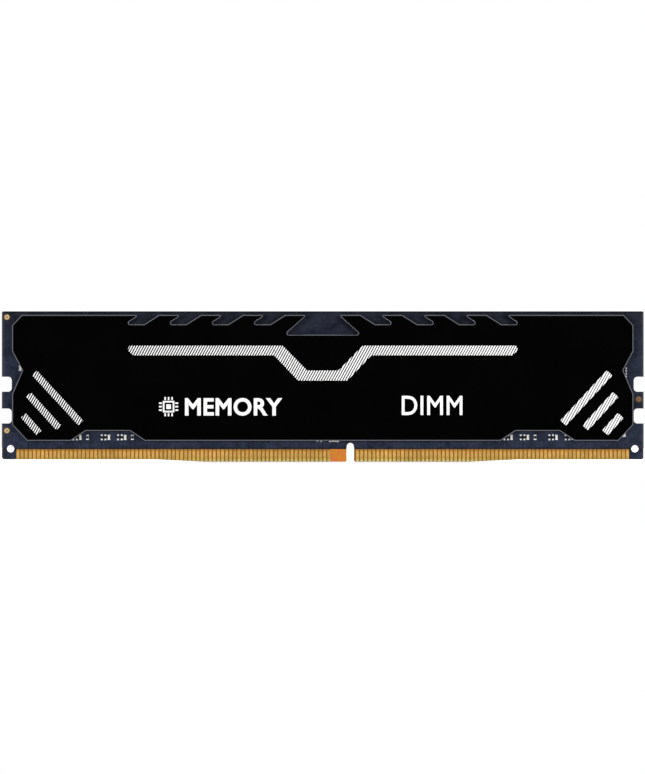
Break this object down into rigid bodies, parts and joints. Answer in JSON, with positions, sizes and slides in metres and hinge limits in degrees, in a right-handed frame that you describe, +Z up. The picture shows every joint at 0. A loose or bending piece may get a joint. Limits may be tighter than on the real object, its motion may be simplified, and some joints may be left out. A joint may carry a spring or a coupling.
{
  "type": "ram module",
  "caption": "Long thin desktop memory module: a keyed circuit board with a gold contact edge and latch notches, between two flat black heat spreaders.",
  "frame": {"origin": "middle of the lowest stretch of the contact edge, on the board's middle plane", "axes": "+X along the module, to the right as seen from the front; +Y through it from front to back; +Z up from the contact edge to the top edge"},
  "size_m": [0.1334, 0.0066, 0.0312],
  "materials": {
    "laminate": "matte",
    "solder_mask": "satin",
    "gold": "satin",
    "tin_plating": "satin",
    "solder": "gloss",
    "chip_mould": "matte",
    "chip_substrate": "satin",
    "ceramic": "satin",
    "resistor_coat": "gloss",
    "thermal_pad": "matte",
    "black_anodised": "matte",
    "bare_aluminium": "satin",
    "white_ink": "matte"
  },
  "bodies": {
    "root": {"circuit_board": "laminate", "identity_chip": "chip_mould", "identity_chip_leads": "tin_plating", "solder_mask_front": "solder_mask", "edge_contacts_front": "gold", "alignment_pads_front": "gold", "chip_substrates_front": "chip_substrate", "chip_solder_balls_front": "solder", "capacitor_bodies_front": "ceramic", "capacitor_terminals_front": "tin_plating", "resistor_bodies_front": "resistor_coat", "resistor_terminals_front": "tin_plating", "array_bodies_front": "resistor_coat", "array_terminals_front": "tin_plating", "thermal_pad_front": "thermal_pad", "heat_spreader_front": "black_anodised", "memory_chip_front_1": "chip_mould", "memory_chip_front_2": "chip_mould", "memory_chip_front_3": "chip_mould", "memory_chip_front_4": "chip_mould", "memory_chip_front_5": "chip_mould", "memory_chip_front_6": "chip_mould", "memory_chip_front_7": "chip_mould", "memory_chip_front_8": "chip_mould", "solder_mask_back": "solder_mask", "edge_contacts_back": "gold", "alignment_pads_back": "gold", "chip_substrates_back": "chip_substrate", "chip_solder_balls_back": "solder", "capacitor_bodies_back": "ceramic", "capacitor_terminals_back": "tin_plating", "resistor_bodies_back": "resistor_coat", "resistor_terminals_back": "tin_plating", "array_bodies_back": "resistor_coat", "array_terminals_back": "tin_plating", "thermal_pad_back": "thermal_pad", "heat_spreader_back": "black_anodised", "memory_chip_back_1": "chip_mould", "memory_chip_back_2": "chip_mould", "memory_chip_back_3": "chip_mould", "memory_chip_back_4": "chip_mould", "memory_chip_back_5": "chip_mould", "memory_chip_back_6": "chip_mould", "memory_chip_back_7": "chip_mould", "memory_chip_back_8": "chip_mould"}
  },
  "joints": []
}
